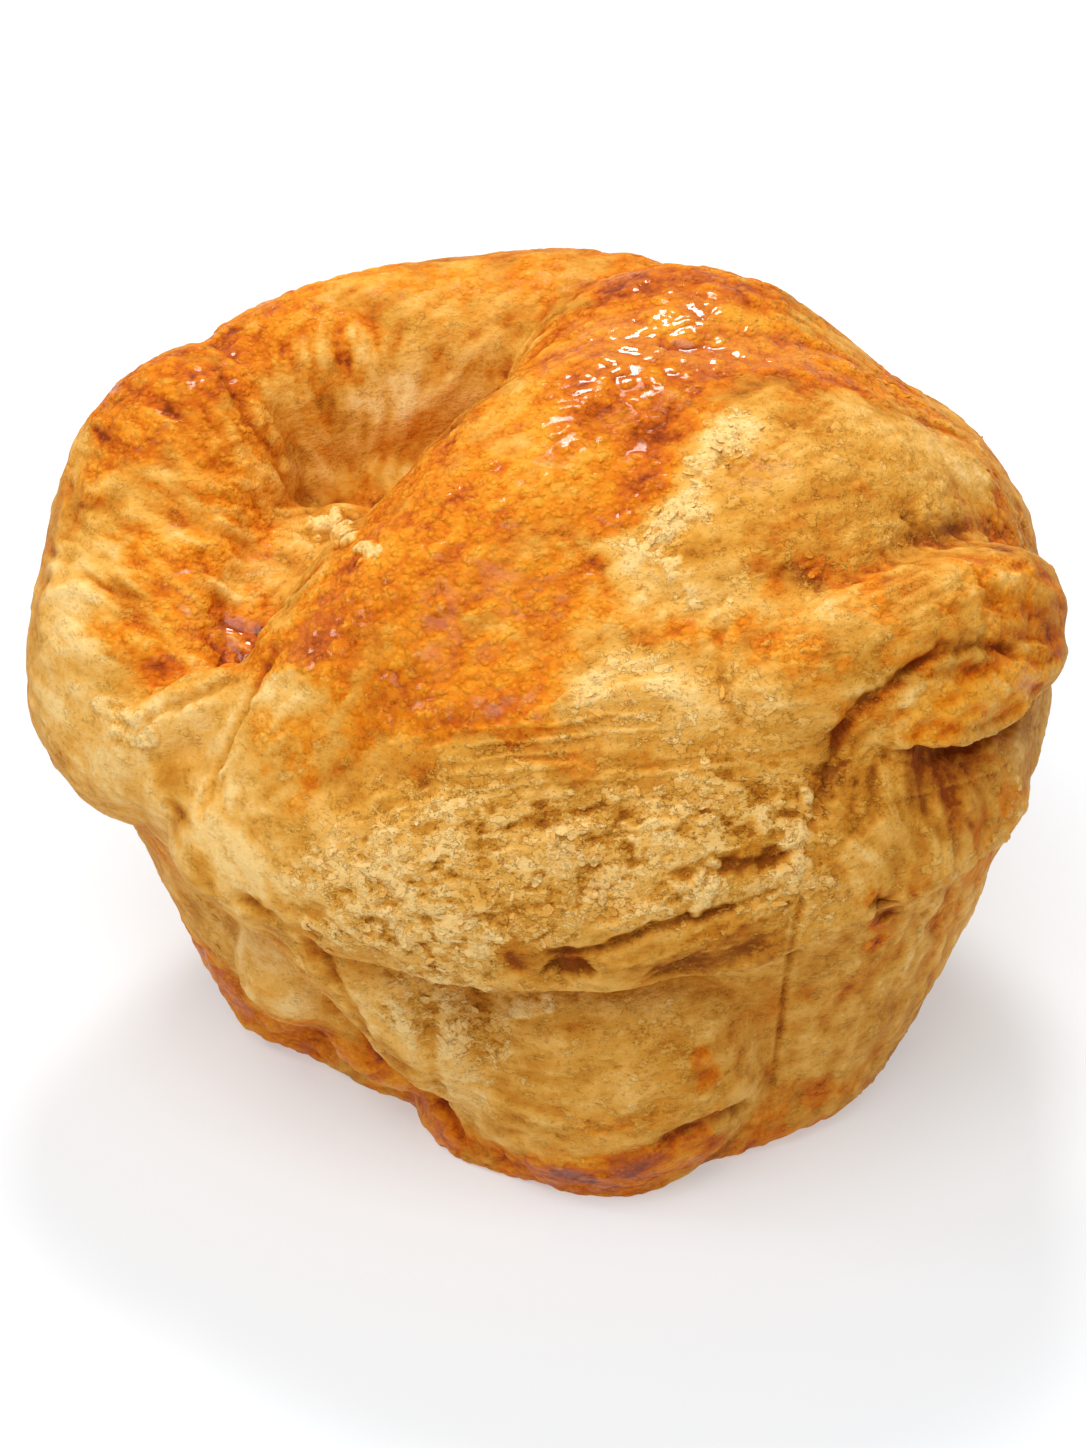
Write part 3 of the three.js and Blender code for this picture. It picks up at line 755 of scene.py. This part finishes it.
# path, reach in millimetres, and how strongly the skin was drawn out there
DRAWN = [
    ([(90, 560), (180, 600), (250, 640)], 9, 1.0),
    ([(120, 440), (190, 470), (250, 500)], 6, 0.8),
    ([(330, 350), (360, 430)], 5, 0.7),
    ([(480, 330), (420, 420)], 5, 0.7),
    ([(200, 800), (230, 860), (300, 890)], 3.5, 0.6),
    ([(870, 725), (950, 695), (1040, 670)], 3.5, 1.2),
    ([(860, 590), (930, 565), (1010, 575)], 3.5, 0.7),
    ([(890, 800), (940, 860), (930, 960)], 7, 0.9),
    ([(230, 700), (150, 740)], 3.5, 0.05),
]
drawn_out = np.full(len(places), DRAWN_ELSEWHERE)
for path, reach, strength in DRAWN:
    near, distance, _, _ = beside(trace(path, 12), 2 * reach)
    drawn_out[near] += (strength - drawn_out[near]) * np.exp(-((distance / reach) ** 3))

# path and reach in millimetres of where the layers of the lid show edge on, one over another
LAYERED = [([(370, 790), (520, 755), (680, 735), (850, 705)], 4.5), ([(740, 670), (850, 640)], 3.0)]
layered = np.zeros(len(places))
for path, reach in LAYERED:
    near, distance, _, along = beside(trace(path, 8), 2 * reach)
    layered[near] = np.maximum(layered[near], np.exp(-((distance / reach) ** 4)) * taper(along, 0.15))

LAYER_STEP = 15  # photograph pixels from one layer edge to the next
LAYER_MIDDLE = 600  # photograph pixel across, about which the edges are tilted
LAYER_TILT = 0.10
FLAKE = 1.7  # millimetres across a torn flake
BLISTER = 1.25  # millimetres from one blister to the next
BLISTER_RADIUS = 0.62  # as a share of that
BARE = 0.33  # share of the places for blisters that stay without one

# heights in millimetres
LUMPS = 0.30
SMALL_LUMPS = 0.10
RIDGES = 0.15
SMALL_RIDGES = 0.05
BLISTERS = 0.20
TORN_UP = 0.18
TORN_DOWN = 0.30
LAYERS = 0.35


def domes(points, size, seed):
    """Round bumps up to 1 high, one in most cells of a scattered pattern."""
    scaled = points @ SLANT / size
    cell = np.floor(scaled).astype(np.int64)
    nearest = np.full(len(points), 9.0)
    kept = np.zeros(len(points))
    for step in np.ndindex(3, 3, 3):
        other = cell + step - np.array((1, 1, 1))
        spot = other + np.stack([lattice(other, seed + k) for k in range(3)], 1)
        distance = np.linalg.norm(scaled - spot, axis=1)
        closer = distance < nearest
        nearest = np.where(closer, distance, nearest)
        kept[closer] = lattice(other[closer], seed + 3)
    return np.sqrt((1 - (nearest / BLISTER_RADIUS) ** 2).clip(0)) * (kept > BARE) * (0.5 + kept / 2)


def pixels(points):
    """Where points show in the photograph: x, y in pixels."""
    away = points - EYE
    depth = -away @ BACK
    x = PHOTO_WIDTH / 2 + FOCAL * (away @ RIGHT) / depth
    y = PHOTO_HEIGHT / 2 - FOCAL * (away @ UP) / depth
    return x, y


torn = 0.6 * rough_noise(places * (0.8, 0.8, 1.1), FLAKE, 81, 4)
torn += 0.34 * streaks(0.7, 82, 5)
torn_up = step_up(torn, 0.75 - 0.85 * flaky, 0.12)
torn_down = step_up(-torn, 0.95 - 0.55 * flaky, 0.2)

x, y = pixels(places * MM)
phase = (y + LAYER_TILT * (x - LAYER_MIDDLE)) / LAYER_STEP
phase += 0.8 * rough_noise(places, 9, 74, 2) + 0.10 * noise(places, 1.0, 76)
shingle = phase - np.floor(phase)
broken = (0.35 + 0.9 * noise(places * (0.25, 0.25, 1), 1.6, 77)).clip(0, 1)
layer = layered * broken * (shingle**3 - 0.25)

washed = step_up(wash + 0.3 * noise(places, 2.5, 79), 0.3, 0.4)
astray = np.stack([noise(places, 1.1, 64 + k) for k in range(3)], 1)
blisters = domes(places + 0.3 * astray, BLISTER, 71)

relief += LUMPS * rough_noise(places, 8, 73, 2) + SMALL_LUMPS * rough_noise(places, 2.6, 75, 2)
relief += drawn_out * (RIDGES * broad_streaks + SMALL_RIDGES * fine_streaks).clip(-0.5, 0.5)
relief += BLISTERS * blisters * (0.2 + 0.8 * washed) * (1 - 0.5 * layered)
relief += (TORN_UP * torn_up - TORN_DOWN * torn_down) * (0.15 + 0.85 * flaky) * (1 - 0.4 * layered)
relief += LAYERS * layer

places += normals * relief[:, None]
places[:, 2] = places[:, 2].clip(0)
skin.vertices.foreach_set("co", (places * MM).ravel())
skin.update()

# hollows of the finished skin: how far each vertex lies under the mean of those around it. The crust finish
# darkens the hollows, and the broader valleys, as painted shade
averaged = np.stack([spread(places[:, axis], 5) for axis in range(3)], 1)
hollow = ((averaged - places) * normals).sum(axis=1)
valley = spread(hollow, 40)
valley = (valley / valley.std()).clip(-2, 3)
hollow = (hollow / hollow.std()).clip(-3, 3)

fields = {
    "tone": tone, "wash": wash, "flaky": flaky, "hollow": hollow, "valley": valley,
    "streak": (broad_streaks + 0.6 * fine_streaks) * (0.4 + drawn_out),
    "raised": torn_up * flaky - torn_down * flaky + 1.2 * layer,
    "upright": np.abs(flow[:, 2]),
}
for name, values in fields.items():
    skin.attributes.new(name, "FLOAT", "POINT").data.foreach_set("value", values.astype(np.float32))

# ---- Crust finish -----------------------------------------------------------------------------
# One finish for the whole skin: dry pastry from cream to toasted brown, and egg wash over it,
# deeper in colour and glossy. Fine grain, pinholes and pale flakes are bumps and colour. Hollows,
# valleys and the rims just outside flakes are darkened as painted shade.
DRY_TONES = ((0.0, "F7CD82"), (0.25, "EDB358"), (0.5, "DA9938"), (0.75, "C27A1E"), (1.0, "8F4A0D"))
WASH_TONES = ((0.0, "F8B243"), (0.3, "F09C26"), (0.55, "E2800E"), (0.8, "C75D06"), (1.0, "8F3803"))


def linear(code):
    """A colour given as six hexadecimal digits, in Blender's linear colours."""
    parts = [int(code[k:k + 2], 16) / 255 for k in (0, 2, 4)]
    return tuple((c / 12.92 if c < 0.04045 else ((c + 0.055) / 1.055) ** 2.4) for c in parts) + (1.0,)


class Nodes:
    """Adds nodes to a tree and links them: node("TYPE", input=value or output socket). An input is
    given by its name, or by an underscore and its number."""

    def __init__(self, tree):
        self.tree = tree

    def put(self, socket, value):
        if isinstance(value, bpy.types.NodeSocket):
            self.tree.links.new(value, socket)
        else:
            socket.default_value = value

    def node(self, kind, settings=None, **inputs):
        made = self.tree.nodes.new(kind)
        for key, value in (settings or {}).items():
            setattr(made, key, value)
        for key, value in inputs.items():
            socket = made.inputs[int(key[1:])] if key[0] == "_" else made.inputs[key.replace("_", " ")]
            self.put(socket, value)
        return made

    def math(self, operation, first, second):
        return self.node("ShaderNodeMath", {"operation": operation}, _0=first, _1=second).outputs[0]

    def total(self, *terms):
        """The sum of (value, weight) terms."""
        whole = 0.0
        settings = {"operation": "MULTIPLY_ADD"}
        for value, weight in terms:
            whole = self.node("ShaderNodeMath", settings, _0=value, _1=weight, _2=whole).outputs[0]
        return whole

    def smooth(self, value, low, high, first=0.0, last=1.0):
        settings = {"interpolation_type": "SMOOTHSTEP"}
        made = self.node("ShaderNodeMapRange", settings, Value=value, _1=low, _2=high, _3=first, _4=last)
        return made.outputs["Result"]

    def attribute(self, name):
        return self.node("ShaderNodeAttribute", {"attribute_name": name}).outputs["Fac"]

    def ramp(self, value, stops):
        made = self.node("ShaderNodeValToRGB", _0=value)
        elements = made.color_ramp.elements
        while len(elements) > 1:
            elements.remove(elements[-1])
        for k, (at, code) in enumerate(stops):
            element = elements[0] if k == 0 else elements.new(at)
            element.position = at
            element.color = linear(code)
        return made.outputs["Color"]

    def mix(self, share, first, second):
        made = self.tree.nodes.new("ShaderNodeMix")
        made.data_type = "RGBA"
        for socket, value in ((made.inputs[0], share), (made.inputs[6], first), (made.inputs[7], second)):
            self.put(socket, value)
        return made.outputs[2]


crust = bpy.data.materials.new("crust")
crust.use_nodes = True
n = Nodes(crust.node_tree)
shader = crust.node_tree.nodes["Principled BSDF"]
where = n.node("ShaderNodeTexCoord").outputs["Object"]
where = n.node("ShaderNodeMapping", Vector=where, Scale=(1 / MM, 1 / MM, 1 / MM)).outputs["Vector"]


def texture_noise(scale, detail, roughness=0.55, at=where):
    return n.node("ShaderNodeTexNoise", Vector=at, Scale=scale, Detail=detail, Roughness=roughness)


def stretched(across, up):
    """Positions whose pattern is drawn out, by the scales across and up the pie."""
    made = n.node("ShaderNodeMapping", Vector=where, Rotation=(0.1, 0.25, 0), Scale=(across, across, up))
    return made.outputs["Vector"]


mottle = texture_noise(0.32, 4).outputs["Fac"]
small = texture_noise(1.9, 4, 0.66, stretched(0.8, 1.2)).outputs["Fac"]
grain = texture_noise(5.0, 2, 0.6).outputs["Fac"]
broad = texture_noise(0.68, 7, 0.68, stretched(0.8, 1.25)).outputs["Fac"]
across_fibres = texture_noise(0.8, 3, 0.6, stretched(0.4, 2.4)).outputs["Fac"]
upright_fibres = texture_noise(0.8, 3, 0.6, stretched(2.0, 0.45)).outputs["Fac"]

tone_in, wash_in, flaky_in, hollow_shade_in, valley_shade_in, streak_in, raised_in, upright_in = (
    n.attribute(name) for name in fields
)
turned = n.smooth(upright_in, 0.3, 0.6)
fibres = n.math("MULTIPLY", turned, n.math("SUBTRACT", upright_fibres, across_fibres))
fibres = n.total((across_fibres, 1.0), (fibres, 1.0))

# thin flakes: the high parts of the broad and the small pattern, cut off flat with a crisp edge
cut = n.total((flaky_in, -0.10), (wash_in, 0.02), (0.615, 1.0))
over_broad = n.math("SUBTRACT", broad, cut)
over_small = n.math("SUBTRACT", small, n.total((cut, 1.0), (0.03, 1.0)))
flake = n.math("MAXIMUM", n.smooth(over_broad, 0.0, 0.012), n.smooth(over_small, 0.0, 0.02))
# painted shadow: a dark rim just outside each flake's edge
flake_shadow = n.smooth(over_broad, -0.035, 0.0)
flake_shadow = n.math("MULTIPLY", flake_shadow, n.math("SUBTRACT", 1.0, flake))
flake = n.math("MULTIPLY", flake, n.smooth(flaky_in, 0.1, 0.6, 0.4, 1.0))
pits = n.math("MULTIPLY", n.smooth(small, 0.39, 0.33), n.total((flaky_in, 0.8), (0.25, 1.0)))

# blisters under the egg wash
warp = n.node("ShaderNodeCombineXYZ", X=broad, Y=small, Z=mottle).outputs["Vector"]
warp = n.node("ShaderNodeVectorMath", {"operation": "SCALE"}, Vector=warp, Scale=0.9)
bent = n.node("ShaderNodeVectorMath", {"operation": "ADD"}, _0=where, _1=warp.outputs["Vector"])
blister = n.node("ShaderNodeTexVoronoi", Vector=bent.outputs["Vector"], Scale=1.5, Randomness=1.0)
blister = n.smooth(blister.outputs["Distance"], 0.62, 0.08)

wet = n.total((wash_in, 1.0), (mottle, 0.7), (small, 0.3), (0.50, -1.0), (flake, -0.30), (streak_in, -0.05))
wet = n.smooth(wet, 0.15, 0.75)
glossy = n.total((wash_in, 1.0), (mottle, 1.2), (-0.6, 1.0))
bubbles = n.math("MULTIPLY", wet, blister)

shade = n.total(
    (tone_in, 1.0), (mottle, 0.75), (broad, 0.50), (small, 0.35), (fibres, 0.25),
    (0.925, -1.0),
    # painted shade: darker in hollows and valleys. Raised torn bits and layer edges turn paler, and the skin
    # in torn dips and just below a layer edge darker, which is painted shade
    (hollow_shade_in, 0.06), (valley_shade_in, 0.035), (streak_in, -0.06), (raised_in, -0.12),
    (flake, -0.26), (flake_shadow, 0.09), (pits, 0.18), (bubbles, -0.12), (flaky_in, 0.10),
)
colour = n.mix(wet, n.ramp(shade, DRY_TONES), n.ramp(shade, WASH_TONES))
n.put(shader.inputs["Base Color"], colour)
n.put(shader.inputs["Coat Weight"], n.smooth(glossy, 0.65, 1.3, 0.02, 0.65))
shader.inputs["Coat Roughness"].default_value = 0.10
shader.inputs["Roughness"].default_value = 0.6
shader.inputs["Specular IOR Level"].default_value = 0.06

# heights in millimetres
bumps = n.total(
    (broad, 0.34), (small, 0.18), (grain, 0.015), (fibres, 0.16),
    (flake, 0.10), (pits, -0.12), (bubbles, 0.16),
)
bump = n.node("ShaderNodeBump", Strength=1.0, Distance=MM, Height=bumps)
n.put(shader.inputs["Normal"], bump.outputs["Normal"])

skin.materials.clear()
skin.materials.append(crust)
skin.shade_smooth()

# ---- Loose flakes -----------------------------------------------------------------------------
# Thin flakes stand off the skin where it tore. Geometry Nodes scatters small plates over the
# flaky skin, each turned and stretched its own way, and bends them all with one noise. They keep
# the colour fields of the skin under them, a little paler.
TORN_FROM = 0.35  # how flaky the skin is where the first flakes come loose
LOWEST_FLAKE = 8  # millimetres of height
PLATE_SIDES = 8
TILT = 0.2  # radians that a flake leans either way
FULL_TURN = 6.28  # radians
FLAKE_WAVES = 1400  # per metre, of the noise that bends them

loose = (flaky - TORN_FROM).clip(0) * (height > LOWEST_FLAKE)
loose *= step_up(rough_noise(places, 5, 95, 2), -0.5, 0.9)
skin.attributes.new("loose", "FLOAT", "POINT").data.foreach_set("value", loose.astype(np.float32))

scatter = bpy.data.node_groups.new("loose flakes", "GeometryNodeTree")
scatter.interface.new_socket("Geometry", in_out="INPUT", socket_type="NodeSocketGeometry")
sockets = {
    name: scatter.interface.new_socket(name, in_out="INPUT", socket_type=kind)
    for name, kind in (
        ("Per square metre", "NodeSocketFloat"), ("Flake radius", "NodeSocketFloat"),
        ("Flake thickness", "NodeSocketFloat"), ("Raggedness", "NodeSocketFloat"),
        ("Paler by", "NodeSocketFloat"), ("Finish", "NodeSocketMaterial"), ("Seed", "NodeSocketInt"),
    )
}
scatter.interface.new_socket("Geometry", in_out="OUTPUT", socket_type="NodeSocketGeometry")
g = Nodes(scatter)
given = g.node("NodeGroupInput").outputs


def named(name):
    reader = g.node("GeometryNodeInputNamedAttribute", {"data_type": "FLOAT"})
    reader.inputs["Name"].default_value = name
    return reader.outputs["Attribute"]


points = g.node("GeometryNodeDistributePointsOnFaces", Mesh=given["Geometry"], Seed=given["Seed"])
g.put(points.inputs["Density"], g.math("MULTIPLY", named("loose"), given["Per square metre"]))
plate = g.node("GeometryNodeMeshCylinder", Vertices=PLATE_SIDES)
g.put(plate.inputs["Radius"], given["Flake radius"])
g.put(plate.inputs["Depth"], given["Flake thickness"])
vector = {"data_type": "FLOAT_VECTOR"}
spin = g.node("FunctionNodeRandomValue", vector, Min=(-TILT, -TILT, 0), Max=(TILT, TILT, FULL_TURN))
spin = g.node("FunctionNodeEulerToRotation", Euler=spin.outputs["Value"])
stretch = g.node("FunctionNodeRandomValue", vector, Min=(0.5, 0.3, 0.8), Max=(1.5, 0.9, 1.2))
turned_by = g.node("FunctionNodeRotateRotation", {"rotation_space": "LOCAL"})
g.put(turned_by.inputs["Rotation"], points.outputs["Rotation"])
g.put(turned_by.inputs["Rotate By"], spin.outputs["Rotation"])
placed = g.node("GeometryNodeInstanceOnPoints", Points=points.outputs["Points"])
g.put(placed.inputs["Instance"], plate.outputs["Mesh"])
g.put(placed.inputs["Rotation"], turned_by.outputs["Rotation"])
g.put(placed.inputs["Scale"], stretch.outputs["Value"])
real = g.node("GeometryNodeRealizeInstances", Geometry=placed.outputs["Instances"]).outputs["Geometry"]
pull = g.node("ShaderNodeTexNoise", Scale=FLAKE_WAVES, Detail=1).outputs["Color"]
pull = g.node("ShaderNodeVectorMath", {"operation": "SUBTRACT"}, _0=pull, _1=(0.5, 0.5, 0.5))
pull = g.node("ShaderNodeVectorMath", {"operation": "SCALE"}, Vector=pull.outputs["Vector"])
g.put(pull.inputs["Scale"], given["Raggedness"])
bent_plates = g.node("GeometryNodeSetPosition", Geometry=real, Offset=pull.outputs["Vector"])
paler = g.node("GeometryNodeStoreNamedAttribute", {"data_type": "FLOAT", "domain": "POINT"})
g.put(paler.inputs["Geometry"], bent_plates.outputs["Geometry"])
paler.inputs["Name"].default_value = "tone"
g.put(paler.inputs["Value"], g.math("SUBTRACT", named("tone"), given["Paler by"]))
dressed = g.node("GeometryNodeSetMaterial", Geometry=paler.outputs["Geometry"], Material=given["Finish"])
g.put(g.node("NodeGroupOutput").inputs["Geometry"], dressed.outputs["Geometry"])

flakes = add("loose_flakes", skin)
scattered = flakes.modifiers.new("scattered", "NODES")
scattered.node_group = scatter
chosen = {
    "Per square metre": 1700000.0, "Flake radius": 0.52 * MM, "Flake thickness": 0.10 * MM,
    "Raggedness": 0.6 * MM, "Paler by": 0.12, "Finish": crust, "Seed": 7,
}
for name, value in chosen.items():
    scattered[sockets[name].identifier] = value
finished(flakes)

# ---- Quarters ---------------------------------------------------------------------------------
# The skin is handed over as four closed quarters, cut at two upright planes, so that none has
# too many triangles. They keep the normals of the whole skin, so that no seam shows.
CUT = (-2.69 * MM, 1.27 * MM)  # where the planes stand: they share the triangles out evenly
QUARTERS = {
    "left": (-1, {"pastry_front_left": -1, "pastry_back_left": 1}),
    "right": (1, {"pastry_front_right": -1, "pastry_back_right": 1}),
}


def cut_off(whole, axis, side, name):
    """The part of a closed mesh on one side of a plane, closed again at the plane."""
    keep = Vector((0, 0, 0))
    keep[axis] = side
    shape = bmesh.new()
    shape.from_mesh(whole)
    everything = shape.verts[:] + shape.edges[:] + shape.faces[:]
    cut = bmesh.ops.bisect_plane(shape, geom=everything, plane_co=(*CUT, 0), plane_no=keep, clear_inner=True)
    rim = [item for item in cut["geom_cut"] if isinstance(item, bmesh.types.BMEdge)]
    bmesh.ops.triangle_fill(shape, edges=rim, use_beauty=False, normal=-keep)
    mesh = bpy.data.meshes.new(name)
    shape.to_mesh(mesh)
    shape.free()
    return mesh


skin.attributes.remove(skin.attributes["loose"])
whole_normals = read(skin.vertex_normals, "vector").astype(np.float32)
skin.attributes.new("outward", "FLOAT_VECTOR", "POINT").data.foreach_set("vector", whole_normals.ravel())

for half_name, (left_or_right, parts) in QUARTERS.items():
    half_mesh = cut_off(skin, 0, left_or_right, half_name)
    for name, front_or_back in parts.items():
        mesh = cut_off(half_mesh, 1, front_or_back, name)
        outward = np.empty(len(mesh.vertices) * 3, np.float32)
        mesh.attributes["outward"].data.foreach_get("vector", outward)
        mesh.attributes.remove(mesh.attributes["outward"])
        mesh.materials.append(crust)
        mesh.shade_smooth()
        mesh.normals_split_custom_set_from_vertices(outward.reshape(-1, 3).tolist())
        quarter = add(name, mesh)
        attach(quarter, "root")
        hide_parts("pie")
bpy.data.objects.remove(dough)

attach(flakes, "root")
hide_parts("pie")
